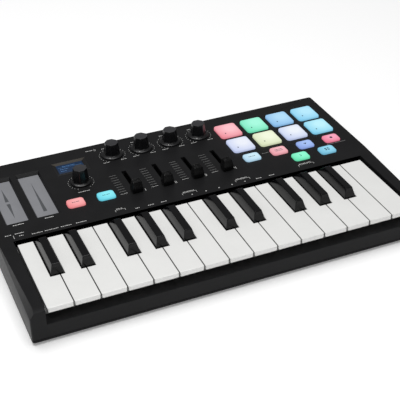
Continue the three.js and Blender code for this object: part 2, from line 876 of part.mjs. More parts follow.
function cap({ x, y }, width, depth, corner, flangeBottom, top) {
  const halfWidth = width / 2 + holeClearance + flangeMargin;
  const halfDepth = depth / 2 + holeClearance + flangeMargin;
  const flange = box(
    x - halfWidth, x + halfWidth, y - halfDepth, y + halfDepth,
    flangeBottom, flangeBottom + flangeThickness
  );
  return flange.add(centredBlock(x, y, width, depth, corner, flangeBottom + flangeThickness / 2, top));
}

function pad(place) {
  return cap(place, padWidth, padDepth, padCorner, padFlangeBottom, deckTop + padLift);
}

function button(place) {
  return cap(place, buttonWidth, buttonDepth, buttonCorner, buttonFlangeBottom, deckTop + buttonLift);
}

function knob({ x, y }, height, skirtDiameter) {
  const skirtBase = deckTop + knobGap;
  const skirtTop = skirtBase + knobSkirtHeight;
  const top = deckTop + height;
  const rimTop = skirtBase + knobRimHeight;
  const rim = cylinderZ(x, y, skirtBase, rimTop, skirtDiameter, skirtDiameter, 24);
  const skirt = cylinderZ(x, y, rimTop, skirtTop, skirtDiameter, gripBaseDiameter, 24);
  const acrossCorners = 1 / Math.cos(Math.PI / gripSides);
  const grip = cylinderZ(
    x, y, skirtBase, top, gripBaseDiameter * acrossCorners, gripTopDiameter * acrossCorners, gripSides
  );
  const shaft = cylinderZ(
    x, y, boardTop + loose, rimTop, shaftDiameter, shaftDiameter, 12
  );
  return join(rim, skirt, grip, shaft);
}

function faderCap(x) {
  const z0 = deckTop + capGap;
  const z1 = z0 + capHeight;
  const shoulder = z0 + capShoulder;
  const y = faderLowY;
  const half = capLength / 2;
  const crown = capTopLength / 2;
  const side = outline([
    [y - half, z0], [y + half, z0], [y + half, shoulder], [y + crown, z1 - capEdge],
    [y + crown - capEdge, z1], [y + capDip, z1 - capDip], [y - capDip, z1 - capDip],
    [y - crown + capEdge, z1], [y - crown, z1 - capEdge], [y - half, shoulder],
  ]);
  const foot = capWidth / 2;
  const section = outline([
    [x - foot, z0], [x + foot, z0], [x + foot, shoulder],
    [x + capTopWidth / 2, z1], [x - capTopWidth / 2, z1], [x - foot, shoulder],
  ]);
  const body = prismX(side, x - foot, x + foot).intersect(prismY(section, y - half, y + half));
  const stem = box(
    x - faderStemWidth / 2, x + faderStemWidth / 2, y - faderStemLength / 2, y + faderStemLength / 2,
    deckBottom - 2 * loose - faderBodyDepth + faderFloor + shaftClearance, z0 + sunk
  );
  return body.add(stem);
}

// ---------------------------------------------------------------- materials

function material(color, roughness, metalness) {
  return new THREE.MeshStandardMaterial({ color, roughness, metalness });
}

const casePlastic = material("#2b2b2c", 0.62, 0);
const floorPlastic = material("#242425", 0.7, 0);
const chassisPlastic = material("#3a3c3f", 0.6, 0);
const whiteGloss = material("#ececea", 0.35, 0);
const blackSatin = material("#1d1d1f", 0.38, 0);
const knobRubber = material("#2a2a2c", 0.6, 0);
const capPlastic = material("#121213", 0.5, 0);
const footRubber = material("#161616", 0.9, 0);
const contactRubber = material("#bfc2c0", 0.8, 0);
const boardGreen = material("#1f5a3a", 0.5, 0);
const screenGlass = material("#123a6e", 0.15, 0);
const touchSurface = material("#8a8c90", 0.45, 0);
const padColours = [
  "#ffb9c4", "#a9f7c6", "#b4d4ff", "#b2e9ff", "#ecebff", "#f4f6d2", "#dcdcff", "#baf4ff",
];
const buttonColours = [
  "#ffb3a8", "#6ef0ff", "#a3d5ff", "#f6c6dd", "#aac4ff", "#ff9ab8", "#7df5b8", "#8fe4ff",
];

// ---------------------------------------------------------------- assembly

const keyboard = new THREE.Group();
keyboard.position.set(-keybedWidth / 2, -(caseFront + caseRear) / 2, 0);

function place(name, solid, finish) {
  const mesh = new THREE.Mesh(geometryOf(solid), finish);
  mesh.name = name;
  keyboard.add(mesh);
}

place("top_case", topCase(), casePlastic);
place("bottom_case", bottomCase(), floorPlastic);
place("front_foot_strip", footStrip(caseFront + footInset), footRubber);
place("rear_foot_strip", footStrip(caseRear - footInset), footRubber);
place("key_chassis", keyChassis(), chassisPlastic);
place("key_board", keyBoard(), boardGreen);
place("key_contact_strip", contactStrip(), contactRubber);
place("control_board", controlBoard(), boardGreen);
place("display_module", displayModule(), screenGlass);
place("touch_strip_board", touchBoard(), touchSurface);

indexes(whiteKeyCount).forEach((index) => {
  place(`white_key_${twoDigits(index + 1)}`, whiteKey(index), whiteGloss);
});

blackKeys.forEach((x, index) => {
  place(`black_key_${twoDigits(index + 1)}`, blackKey(x), blackSatin);
});

padPlaces.forEach((spot, index) => {
  place(`pad_${index + 1}`, pad(spot), material(padColours[index], 0.5, 0));
});

const buttonNames = [
  "octave_down_button", "octave_up_button", "transport_button_1", "transport_button_2",
  "transport_button_3", "transport_button_4", "page_button_1", "page_button_2",
];

buttonPlaces.forEach((spot, index) => {
  place(buttonNames[index], button(spot), material(buttonColours[index], 0.45, 0));
});

place("encoder_knob", knob(encoderPlace, encoderHeight, encoderSkirtDiameter), knobRubber);

knobPlaces.forEach((spot, index) => {
  place(`knob_${index + 1}`, knob(spot, knobHeight, knobSkirtDiameter), knobRubber);
});

faderXs.forEach((x, index) => {
  place(`fader_cap_${index + 1}`, faderCap(x), capPlastic);
});

export default keyboard;
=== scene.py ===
"""The looks of a 25-key mini MIDI keyboard controller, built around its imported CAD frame."""
import json
import math

import bmesh
import bpy
from mathutils import Matrix, Vector

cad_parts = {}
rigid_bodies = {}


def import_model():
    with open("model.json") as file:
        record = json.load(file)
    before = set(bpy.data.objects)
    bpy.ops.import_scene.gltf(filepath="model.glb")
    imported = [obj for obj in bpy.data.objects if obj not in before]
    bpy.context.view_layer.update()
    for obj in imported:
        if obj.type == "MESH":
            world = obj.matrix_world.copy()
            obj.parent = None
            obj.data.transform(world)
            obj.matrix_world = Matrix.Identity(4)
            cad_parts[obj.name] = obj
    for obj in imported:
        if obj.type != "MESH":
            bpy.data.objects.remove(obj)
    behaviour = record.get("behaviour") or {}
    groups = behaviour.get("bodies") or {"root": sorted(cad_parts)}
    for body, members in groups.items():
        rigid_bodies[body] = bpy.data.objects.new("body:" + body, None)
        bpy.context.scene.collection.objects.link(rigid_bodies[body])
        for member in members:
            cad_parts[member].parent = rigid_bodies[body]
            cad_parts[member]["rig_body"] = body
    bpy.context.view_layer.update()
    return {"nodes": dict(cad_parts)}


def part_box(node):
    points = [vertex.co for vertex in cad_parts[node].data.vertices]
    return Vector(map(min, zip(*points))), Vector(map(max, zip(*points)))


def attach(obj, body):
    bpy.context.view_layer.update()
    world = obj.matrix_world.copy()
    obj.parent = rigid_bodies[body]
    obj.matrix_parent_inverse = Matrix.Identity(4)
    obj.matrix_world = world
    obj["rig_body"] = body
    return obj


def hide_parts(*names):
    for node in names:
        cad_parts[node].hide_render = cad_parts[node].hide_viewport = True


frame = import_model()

MM = 0.001
nodes = frame["nodes"]
case_low, case_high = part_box("top_case")
DECK = case_high.z
FIRST_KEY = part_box("white_key_01")[0]
KEY_GAP = 0.4 * MM
KEY_OVERHANG = 10.4 * MM  # how far the white keys' lips reach out over the front rail
WHITE_KEYS = sorted(name for name in nodes if name.startswith("white_key"))
BLACK_KEYS = sorted(name for name in nodes if name.startswith("black_key"))
KNOBS = ["encoder_knob"] + sorted(name for name in nodes if name.startswith("knob_"))
FADERS = sorted(name for name in nodes if name.startswith("fader_cap"))


def on_deck(x, y, lift=0.0):
    """A place on the deck, from the first key's left edge and the key bodies' fronts, in millimetres."""
    front = FIRST_KEY.y + KEY_OVERHANG
    return Vector((FIRST_KEY.x - KEY_GAP + x * MM, front + y * MM, DECK + lift * MM))


def middle(name):
    low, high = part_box(name)
    return (low + high) / 2


# ------------------------------------------------------------------ camera, light, floor

CAMERA_PLACE = Vector((-0.2580, -0.6384, 0.4765))
CAMERA_AIM = Vector((0.00828, 0.00206, 0.015))
CAMERA_ROLL = math.radians(-1.04)
CAMERA_LENS = 90.4
ROOM_LIGHT = 0.2
BACKDROP_LIGHT = 1.05
FLOOR_HALF = 6.0
FLOOR_DEPTH = -0.05 * MM
FLOOR_GLOW = 0.18


def add_camera():
    data = bpy.data.cameras.new("camera")
    data.lens = CAMERA_LENS
    data.sensor_width = 36.0
    data.clip_start = 0.01
    camera = bpy.data.objects.new("camera", data)
    bpy.context.scene.collection.objects.link(camera)
    turn = (CAMERA_AIM - CAMERA_PLACE).to_track_quat("-Z", "Y")
    roll = Matrix.Rotation(CAMERA_ROLL, 4, "Z")
    camera.matrix_world = Matrix.Translation(CAMERA_PLACE) @ turn.to_matrix().to_4x4() @ roll
    bpy.context.scene.camera = camera


def add_area_light(name, place, aim, size, watts):
    data = bpy.data.lights.new(name, "AREA")
    data.shape = "RECTANGLE"
    data.size, data.size_y = size
    data.energy = watts
    light = bpy.data.objects.new(name, data)
    light.location = place
    light.rotation_euler = (Vector(aim) - Vector(place)).to_track_quat("-Z", "Y").to_euler()
    bpy.context.scene.collection.objects.link(light)


def add_world():
    """A dim white room for the light, and a bright white backdrop for the camera."""
    world = bpy.data.worlds.new("studio")
    world.use_nodes = True
    tree = world.node_tree
    room = tree.nodes["Background"]
    room.inputs["Color"].default_value = (1, 1, 1, 1)
    room.inputs["Strength"].default_value = ROOM_LIGHT
    backdrop = tree.nodes.new("ShaderNodeBackground")
    backdrop.inputs["Color"].default_value = (1, 1, 1, 1)
    backdrop.inputs["Strength"].default_value = BACKDROP_LIGHT
    path = tree.nodes.new("ShaderNodeLightPath")
    mix = tree.nodes.new("ShaderNodeMixShader")
    tree.links.new(path.outputs["Is Camera Ray"], mix.inputs["Fac"])
    tree.links.new(room.outputs[0], mix.inputs[1])
    tree.links.new(backdrop.outputs[0], mix.inputs[2])
    tree.links.new(mix.outputs[0], tree.nodes["World Output"].inputs["Surface"])
    bpy.context.scene.world = world


def add_floor():
    mesh = bpy.data.meshes.new("floor")
    signs = ((-1, -1), (1, -1), (1, 1), (-1, 1))
    corners = [(FLOOR_HALF * x, FLOOR_HALF * y, FLOOR_DEPTH) for x, y in signs]
    mesh.from_pydata(corners, [], [(0, 1, 2, 3)])
    floor = bpy.data.objects.new("floor", mesh)
    paper = bpy.data.materials.new("floor_paper")
    paper.use_nodes = True
    shader = paper.node_tree.nodes["Principled BSDF"]
    shader.inputs["Base Color"].default_value = (0.95, 0.95, 0.95, 1)
    shader.inputs["Roughness"].default_value = 0.9
    shader.inputs["Specular IOR Level"].default_value = 0.1
    shader.inputs["Emission Color"].default_value = (1, 1, 1, 1)
    shader.inputs["Emission Strength"].default_value = FLOOR_GLOW
    mesh.materials.append(paper)
    bpy.context.scene.collection.objects.link(floor)


# ------------------------------------------------------------------ materials

# sockets of a Mix node that blends colours
MIX_FACTOR, MIX_FIRST, MIX_SECOND, MIX_RESULT = 0, 6, 7, 2
LAMP_PLACE = (0.6, 0.58)  # the lamp under a cap, as shares of the cap's width and depth
SILICONE_GLOW = 0.72
SIDE_SHADE = 0.4  # painted shade: the share of their colour that the white keys' side faces keep


def linear(colour):
    """An sRGB hex colour as linear values."""
    parts = [int(colour[i:i + 2], 16) / 255 for i in (1, 3, 5)]
    return [p / 12.92 if p <= 0.04045 else ((p + 0.055) / 1.055) ** 2.4 for p in parts] + [1.0]


def object_noise(tree, scale, detail):
    place = tree.nodes.new("ShaderNodeTexCoord")
    made = tree.nodes.new("ShaderNodeTexNoise")
    made.inputs["Scale"].default_value = scale
    made.inputs["Detail"].default_value = detail
    tree.links.new(place.outputs["Object"], made.inputs["Vector"])
    return made.outputs["Fac"]


def scaled(tree, value, low, high, start=0.0, end=1.0):
    made = tree.nodes.new("ShaderNodeMapRange")
    made.inputs["From Min"].default_value = start
    made.inputs["From Max"].default_value = end
    made.inputs["To Min"].default_value = low
    made.inputs["To Max"].default_value = high
    tree.links.new(value, made.inputs["Value"])
    return made.outputs["Result"]


def colour_mix(tree, blend="MIX"):
    made = tree.nodes.new("ShaderNodeMix")
    made.data_type = "RGBA"
    made.blend_type = blend
    return made


def blend_of(tree, factor, first, second):
    made = colour_mix(tree)
    made.inputs[MIX_FIRST].default_value = first
    made.inputs[MIX_SECOND].default_value = second
    tree.links.new(factor, made.inputs[MIX_FACTOR])
    return made.outputs[MIX_RESULT]


def surface(name, colour, roughness, spread=0.12, rough_spread=0.06, grain=2600, depth=0.02,
            specular=0.5, coat=0.0, blotch=60, metallic=0.0):
    """Moulded stuff: a broad change of tone, a finer change of gloss, and a fine raised grain."""
    made = bpy.data.materials.new(name)
    made.use_nodes = True
    tree = made.node_tree
    shader = tree.nodes["Principled BSDF"]
    shader.inputs["Specular IOR Level"].default_value = specular
    shader.inputs["Coat Weight"].default_value = coat
    shader.inputs["Coat Roughness"].default_value = 0.12
    shader.inputs["Metallic"].default_value = metallic
    base = linear(colour)
    darker = [c * (1 - spread) for c in base[:3]] + [1]
    lighter = [min(1, c * (1 + spread)) for c in base[:3]] + [1]
    share = scaled(tree, object_noise(tree, blotch, 5), 0, 1, 0.3, 0.7)
    tree.links.new(blend_of(tree, share, darker, lighter), shader.inputs["Base Color"])
    smoothest, roughest = roughness - rough_spread, roughness + rough_spread
    gloss = scaled(tree, object_noise(tree, grain / 6, 3), smoothest, roughest)
    tree.links.new(gloss, shader.inputs["Roughness"])
    bump = tree.nodes.new("ShaderNodeBump")
    bump.inputs["Strength"].default_value = 1.0
    bump.inputs["Distance"].default_value = depth * MM
    tree.links.new(object_noise(tree, grain, 2), bump.inputs["Height"])
    tree.links.new(bump.outputs["Normal"], shader.inputs["Normal"])
    return made


def paint_gap_shade(made, share):
    """Painted shade for the narrow gaps between keys: faces turned to the left or right get a darker
    colour.
    """
    tree = made.node_tree
    shader = tree.nodes["Principled BSDF"]
    tone = shader.inputs["Base Color"].links[0].from_socket
    place = tree.nodes.new("ShaderNodeTexCoord")
    split = tree.nodes.new("ShaderNodeSeparateXYZ")
    tree.links.new(place.outputs["Normal"], split.inputs[0])
    size = tree.nodes.new("ShaderNodeMath")
    size.operation = "ABSOLUTE"
    tree.links.new(split.outputs[0], size.inputs[0])
    mix = colour_mix(tree, "MULTIPLY")
    tree.links.new(scaled(tree, size.outputs[0], 0, 1, 0.8, 0.98), mix.inputs[MIX_FACTOR])
    tree.links.new(tone, mix.inputs[MIX_FIRST])
    mix.inputs[MIX_SECOND].default_value = (share, share, share, 1)
    tree.links.new(mix.outputs[MIX_RESULT], shader.inputs["Base Color"])


def lit_silicone(name, pale, deep):
    """Translucent silicone over a lamp: paler over the lamp, deeper at its edge and down its sides."""
    made = surface(name, pale, 0.5, spread=0.0, grain=3000, depth=0.01, specular=0.2)
    tree = made.node_tree
    shader = tree.nodes["Principled BSDF"]
    place = tree.nodes.new("ShaderNodeTexCoord")
    split = tree.nodes.new("ShaderNodeSeparateXYZ")
    tree.links.new(place.outputs["Generated"], split.inputs[0])
    lamp = tree.nodes.new("ShaderNodeCombineXYZ")
    lamp.inputs[0].default_value, lamp.inputs[1].default_value = LAMP_PLACE
    flat = tree.nodes.new("ShaderNodeCombineXYZ")
    tree.links.new(split.outputs[0], flat.inputs[0])
    tree.links.new(split.outputs[1], flat.inputs[1])
    away = tree.nodes.new("ShaderNodeVectorMath")
    away.operation = "DISTANCE"
    tree.links.new(flat.outputs[0], away.inputs[0])
    tree.links.new(lamp.outputs[0], away.inputs[1])
    edge = scaled(tree, away.outputs["Value"], 0, 0.75, 0.16, 0.74)
    side = scaled(tree, split.outputs[2], 0.8, 0, 0.7, 0.97)
    most = tree.nodes.new("ShaderNodeMath")
    most.operation = "MAXIMUM"
    tree.links.new(edge, most.inputs[0])
    tree.links.new(side, most.inputs[1])
    tone = blend_of(tree, most.outputs[0], linear(pale), linear(deep))
    tree.links.new(tone, shader.inputs["Emission Color"])
    shader.inputs["Emission Strength"].default_value = SILICONE_GLOW
    body = colour_mix(tree, "MULTIPLY")
    body.inputs[MIX_FACTOR].default_value = 1.0
    body.inputs[MIX_SECOND].default_value = (0.3, 0.3, 0.3, 1)
    tree.links.new(tone, body.inputs[MIX_FIRST])
    tree.links.new(body.outputs[MIX_RESULT], shader.inputs["Base Color"])
    return made


def glowing(name, colour, strength):
    made = surface(name, colour, 0.4, spread=0.02, depth=0.0)
    shader = made.node_tree.nodes["Principled BSDF"]
    shader.inputs["Emission Color"].default_value = linear(colour)
    shader.inputs["Emission Strength"].default_value = strength
    return made


CASE = surface("case_plastic", "#1b1b1c", 0.38, specular=0.12, grain=2600, depth=0.03)
BASE = surface("floor_plastic", "#151516", 0.4, specular=0.12, grain=2200, depth=0.04)
CHASSIS = surface("chassis_plastic", "#3a3c3f", 0.5)
WHITE = surface("white_key_plastic", "#eeeeec", 0.34, spread=0.015, grain=1800, depth=0.004, coat=0.1)
# painted shade on the white keys' side faces
paint_gap_shade(WHITE, SIDE_SHADE)
BLACK = surface("black_key_plastic", "#08080a", 0.2, spread=0.1, grain=2400, depth=0.004, specular=0.32)
KNOB = surface("knob_plastic", "#0e0e10", 0.3, grain=2600, depth=0.01, specular=0.45)
KNOB_TOP = surface("knob_top_plastic", "#2c2c2f", 0.5, grain=2600, depth=0.03)
CAP = surface("fader_plastic", "#070708", 0.36, specular=0.35, grain=2600, depth=0.01)
# black felt for the fader slots, and the same black as painted shade in the slit behind the keys
FELT_AND_SHADE_BLACK = surface("slot_felt_and_painted_shade", "#020202", 0.9, specular=0.0, grain=1800, depth=0.05)
RUBBER = surface("foot_rubber", "#161616", 0.85, grain=1500, depth=0.05)
CONTACT = surface("contact_rubber", "#bfc2c0", 0.7)
BOARD = surface("circuit_board", "#1f5a3a", 0.4)
PARTS = surface("component_black", "#0d0d0e", 0.5)
TIN = surface("socket_metal", "#b9bcc0", 0.3, spread=0.05, depth=0.004, metallic=1.0)
STEEL = surface("screw_steel", "#3c3d40", 0.35, spread=0.1, depth=0.006, metallic=1.0)
TOUCH = surface("touch_surface", "#85868a", 0.42, spread=0.05, grain=1400, depth=0.02, specular=0.3)
WEDGE = surface("touch_print", "#4e5053", 0.5, specular=0.3)
BEZEL = surface("display_bezel", "#1c1c1d", 0.35, spread=0.06, depth=0.006, specular=0.3)
# painted light: a paler copy of the bezel's plastic for the display's back slope
BEZEL_BACK_PAINTED_LIGHT = surface("display_bezel_back_painted_light", "#6a655d", 0.4, spread=0.08, depth=0.006)
GLASS = glowing("screen_glass", "#04203c", 0.5)
SCREEN_LINES = glowing("screen_lines", "#4f78a8", 0.35)
PAINT = surface("panel_paint", "#d8d8d6", 0.6, spread=0.05, specular=0.2)
DIM_PAINT = surface("panel_paint_dim", "#8a8a89", 0.6, spread=0.08, specular=0.2)
INK = surface("cap_ink", "#2c3a46", 0.6, specular=0.2)

# ------------------------------------------------------------------ mesh helpers

def add_piece(name, mesh, material, body, slot, *replaced):
    """Puts a mesh in the scene, riding on a body, and hides the CAD nodes it replaces; slot is not used."""
    piece = bpy.data.objects.new(name, mesh)
    mesh.materials.clear()
    mesh.materials.append(material)
    bpy.context.scene.collection.objects.link(piece)
    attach(piece, body)
    if replaced:
        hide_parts(*replaced)
    return piece


def finish_mesh(bm, name, sharp=40):
    """A smooth-shaded mesh whose edges stay sharp from an angle up, in degrees."""
    mesh = bpy.data.meshes.new(name)
    bmesh.ops.recalc_face_normals(bm, faces=bm.faces)
    for face in bm.faces:
        face.smooth = True
    bm.to_mesh(mesh)
    bm.free()
    mesh.set_sharp_from_angle(angle=math.radians(sharp))
    return mesh


def weight_normals(piece):
    modifier = piece.modifiers.new("normals", "WEIGHTED_NORMAL")
    modifier.keep_sharp = True
    modifier.weight = 100


def refined(name, material, slot, radius, segments=3, angle=35, wanted=None):
    """A clean copy of a CAD node: welded, its coplanar faces joined, and its sharp edges rounded."""
    bm = bmesh.new()
    bm.from_mesh(nodes[name].data)
    bmesh.ops.remove_doubles(bm, verts=bm.verts, dist=2e-6)
    bmesh.ops.dissolve_limit(bm, angle_limit=math.radians(0.5), verts=bm.verts, edges=bm.edges)
    edges = [
        edge for edge in bm.edges
        if len(edge.link_faces) == 2 and edge.calc_face_angle(0) > math.radians(angle)
        and (wanted is None or wanted(edge))
    ]
    bmesh.ops.bevel(
        bm, geom=edges, offset=radius * MM, segments=segments, profile=0.5, affect="EDGES",
        clamp_overlap=False
    )
    low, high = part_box(name)
    for vertex in bm.verts:
        for axis in range(3):
            vertex.co[axis] = min(max(vertex.co[axis], low[axis]), high[axis])
    mesh = finish_mesh(bm, name + "_surface")
    piece = add_piece(name + "_finish", mesh, material, nodes[name]["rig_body"], slot, name)
    weight_normals(piece)
    return piece


def loft(bm, rings, closed=False):
    """Joins rings of equal length into a closed body; closed joins the last ring to the first."""
    loops = [[bm.verts.new(point) for point in ring] for ring in rings]
    pairs = list(zip(loops, loops[1:]))
    if closed:
        pairs.append((loops[-1], loops[0]))
    count = len(loops[0])
    for lower, upper in pairs:
        for i in range(count):
            j = (i + 1) % count
            bm.faces.new((lower[i], lower[j], upper[j], upper[i]))
    if not closed:
        bm.faces.new(list(reversed(loops[0])))
        bm.faces.new(loops[-1])


def rounded_ring(centre, width, depth, radius, z, steps=6):
    """A level rectangle with rounded corners, as a ring of points."""
    points = []
    radius = max(0.02 * MM, min(radius, width / 2, depth / 2))
    for quarter in range(4):
        side_x = 1 if quarter in (0, 3) else -1
        side_y = 1 if quarter in (0, 1) else -1
        for step in range(steps + 1):
            angle = math.pi / 2 * (quarter + step / steps)
            x = side_x * (width / 2 - radius) + radius * math.cos(angle)
            y = side_y * (depth / 2 - radius) + radius * math.sin(angle)
            points.append(Vector((centre.x + x, centre.y + y, z)))
    return points


def grip_ring(centre, radius, z, square, sides=8, count=96):
    """A ring that is round at square 0 and has flats at square 1, with softened corners."""
    points = []
    sector = 2 * math.pi / sides
    for i in range(count):
        angle = 2 * math.pi * i / count
        off = (angle + sector / 2) % sector - sector / 2
        flat = min(1 / math.cos(off), 1.066)
        reach = radius * (1 + square * (flat - 1))
        points.append(Vector((centre.x + reach * math.cos(angle), centre.y + reach * math.sin(angle), z)))
    return points


def fillet(top, radius, steps):
    """Pairs of inset and height that round an upper edge."""
    pairs = []
    for step in range(steps + 1):
        angle = math.pi / 2 * step / steps
        pairs.append((radius * (1 - math.cos(angle)), top - radius * (1 - math.sin(angle))))
    return pairs


def slab(bm, low, high):
    """An upright box between two corners."""
    rings = [
        [Vector((x, y, z)) for x, y in ((low.x, low.y), (high.x, low.y), (high.x, high.y), (low.x, high.y))]
        for z in (low.z, high.z)
    ]
    loft(bm, rings)


def plate(bm, points, z, thickness):
    """A thin flat shape on a level surface, from its corners."""
    loft(bm, [[Vector((p.x, p.y, z + lift)) for p in points] for lift in (0, thickness)])


# ------------------------------------------------------------------ caps, knobs, faders

FLANGE = 2.9 * MM
FLANGE_THICKNESS = 1.2 * MM
FLANGE_CORNER = 0.6 * MM
FLANGE_CHAMFER = 0.2 * MM
CAP_CORNER = 2.6 * MM
SIGN_ROOM = 0.05 * MM  # the crown stays this far under a cap's printed sign

SKIRT_INSET = 0.45 * MM
SKIRT_GAP = 0.6 * MM
# from the skirt's underside to its top: how far inside its rim, and how high, in millimetres
SKIRT_OUTLINE = (
    (0.9, 0.2), (0.5, 0.0), (0.12, 0.02), (0.0, 0.16), (0.0, 0.45), (0.12, 0.66), (0.4, 0.84),
)
SHAFT_RADIUS = 3.0 * MM
SHAFT_RISE = 0.2 * MM
GRIP_RADIUS = 6.5 * MM
CROWN_RADIUS = 5.5 * MM
FLARE_HEIGHT = 1.29 * MM
FLARE = 0.9 * MM
FLARE_RISE = 1.2 * MM
KNOB_EDGE = 0.35 * MM
# the hollow in a knob's top: radius, drop in millimetres, and how square it is
KNOB_DISH = (
    (CROWN_RADIUS - 0.9 * MM, 0.06, 1), (CROWN_RADIUS * 0.5, 0.28, 0.6), (CROWN_RADIUS * 0.1, 0.34, 0.2),
)
POINTER_ANGLE = math.radians(-120)  # seven o'clock, the low end of a knob's turn
POINTER_INSET = 1.35 * MM
POINTER_HEIGHT = 1.5 * MM
POINTER_RADIUS = 0.45 * MM

FADER_GAP = 0.8 * MM
FADER_TAPER = 2.0 * MM
FADER_SHOULDER = 3.2 * MM
FADER_WAIST = 0.35 * MM
FADER_CROWN_DROP = 0.9 * MM
RIDGE_PLACES = (-1.75, 0.0, 1.75)
RIDGE_WIDTH = 0.9 * MM
RIDGE_EDGE = 0.3 * MM
STEM_HALF_X, STEM_HALF_Y = 0.8 * MM, 2.0 * MM
FADER_TRAVEL = 30 * MM
SLOT_END = 5 * MM
RECESS_DEPTH = 2.55 * MM
LIP_INNER, LIP_OUTER = 0.55 * MM, 2.6 * MM
LIP_THICKNESS = 0.1 * MM


def silicone_cap(name, pale, deep, slot, radius, crown):
    """A lit cap: a flange under the deck, a rounded edge and a slightly crowned top."""
    low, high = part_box(name)
    centre = middle(name)
    width = high.x - low.x - FLANGE
    depth = high.y - low.y - FLANGE
    flange_top = low.z + FLANGE_THICKNESS
    edge = high.z - crown - SIGN_ROOM
    rings = [
        rounded_ring(centre, width + wider, depth + wider, corner, z)
        for wider, corner, z in (
            (FLANGE, FLANGE_CORNER, low.z),
            (FLANGE, FLANGE_CORNER, flange_top - FLANGE_CHAMFER),
            (FLANGE - 2 * FLANGE_CHAMFER, FLANGE_CORNER, flange_top),
            (0, CAP_CORNER, flange_top),
        )
    ]
    for inset, z in fillet(edge, radius, 7):
        rings.append(rounded_ring(centre, width - 2 * inset, depth - 2 * inset, CAP_CORNER - inset, z))
    for share in (0.75, 0.5, 0.25, 0.05):
        z = edge + crown * (1 - share ** 2)
        inner_width = (width - 2 * radius) * share
        inner_depth = (depth - 2 * radius) * share
        rings.append(rounded_ring(centre, inner_width, inner_depth, (CAP_CORNER - radius) * share, z))
    bm = bmesh.new()
    loft(bm, rings)
    material = lit_silicone(name + "_silicone", pale, deep)
    return add_piece(name + "_finish", finish_mesh(bm, name + "_form", 60), material, name, slot, name)


def knob(name):
    """An eight-sided grip that flows into a thin flared skirt, above a dark gap."""
    low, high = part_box(name)
    centre = middle(name)
    skirt = (high.x - low.x) / 2 - SKIRT_INSET
    base = DECK + SKIRT_GAP
    top = high.z
    profile = [(SHAFT_RADIUS, low.z, 0), (SHAFT_RADIUS, base + SHAFT_RISE, 0)]
    profile += [(skirt - inset * MM, base + lift * MM, 0) for inset, lift in SKIRT_OUTLINE]
    profile.append((GRIP_RADIUS + FLARE, base + FLARE_HEIGHT, 0))
    for step in range(1, 6):
        turn = math.pi / 2 * step / 5
        z = base + FLARE_HEIGHT + FLARE_RISE * (1 - math.cos(turn))
        profile.append((GRIP_RADIUS + FLARE * (1 - math.sin(turn)), z, step / 5))
    start = profile[-1][1]
    for share in (0.25, 0.5, 0.75, 1.0):
        reach = GRIP_RADIUS + (CROWN_RADIUS - GRIP_RADIUS) * share
        profile.append((reach, start + (top - KNOB_EDGE - start) * share, 1))
    for inset, z in fillet(top, KNOB_EDGE, 3)[1:]:
        profile.append((CROWN_RADIUS - inset, z, 1))
    profile += [(radius, top - drop * MM, square) for radius, drop, square in KNOB_DISH]
    bm = bmesh.new()
    loft(bm, [grip_ring(centre, radius, z, square) for radius, z, square in profile])
    mesh = finish_mesh(bm, name + "_form", 20)
    add_piece(name + "_finish", mesh, KNOB, name, "knob_plastic", name)
    mesh.materials.append(KNOB_TOP)
    for face in mesh.polygons:
        if face.center.z > top - 0.36 * MM and face.normal.z > 0.8:
            face.material_index = 1


def knob_pointer(name):
    """A painted dot on the skirt, at the low end of the turn."""
    low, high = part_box(name)
    reach = (high.x - low.x) / 2 - POINTER_INSET
    spot = middle(name) + reach * Vector((math.cos(POINTER_ANGLE), math.sin(POINTER_ANGLE), 0))
    z = DECK + POINTER_HEIGHT
    bm = bmesh.new()
    loft(bm, [grip_ring(spot, POINTER_RADIUS, z + lift * MM, 0, count=16) for lift in (0, 0.2)])
    add_piece(name + "_pointer", finish_mesh(bm, name + "_pointer"), PAINT, name, "knob_plastic")


def fader_cap(name):
    """A cap with a waisted taper, three ridges across its top and a stem into the slot."""
    low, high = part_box(name)
    centre = middle(name)
    base = DECK + FADER_GAP
    top = high.z
    foot_x, foot_y = high.x - low.x, high.y - low.y
    crown_x, crown_y = foot_x - FADER_TAPER, foot_y - FADER_TAPER
    shoulder = base + FADER_SHOULDER
    bm = bmesh.new()
    rings = [
        rounded_ring(centre, foot_x - 0.5 * MM, foot_y - 0.5 * MM, 0.5 * MM, base),
        rounded_ring(centre, foot_x, foot_y, 0.4 * MM, base + 0.3 * MM),
        rounded_ring(centre, foot_x, foot_y, 0.4 * MM, shoulder - 0.1 * MM),
    ]
    for share in (0.02, 0.2, 0.4, 0.6, 0.8, 1.0):
        width = foot_x + (crown_x - foot_x) * share
        depth = foot_y + (crown_y - foot_y) * share - FADER_WAIST * math.sin(math.pi * share)
        z = shoulder + (top - FADER_CROWN_DROP - shoulder) * share
        rings.append(rounded_ring(centre, width, depth, 0.4 * MM, z))
    for trim, corner, drop in ((0.3, 0.6, 0.72), (0.9, 0.4, 0.66)):
        width, depth = crown_x - trim * MM, crown_y - trim * MM
        rings.append(rounded_ring(centre, width, depth, corner * MM, top - drop * MM))
    loft(bm, rings)
    ridge_x = crown_x - 0.7 * MM
    for offset in RIDGE_PLACES:
        ridge = centre + Vector((0, offset * MM, 0))
        loft(bm, [
            rounded_ring(ridge, ridge_x - 2 * inset, RIDGE_WIDTH - 2 * inset, RIDGE_EDGE, z, 3)
            for inset, z in [(0, top - 1.0 * MM)] + fillet(top, RIDGE_EDGE, 3)
        ])
    slab(bm, Vector((centre.x - STEM_HALF_X, centre.y - STEM_HALF_Y, low.z)),
         Vector((centre.x + STEM_HALF_X, centre.y + STEM_HALF_Y, base + 0.2 * MM)))
    add_piece(name + "_finish", finish_mesh(bm, name + "_form", 22), CAP, name, "fader_plastic", name)


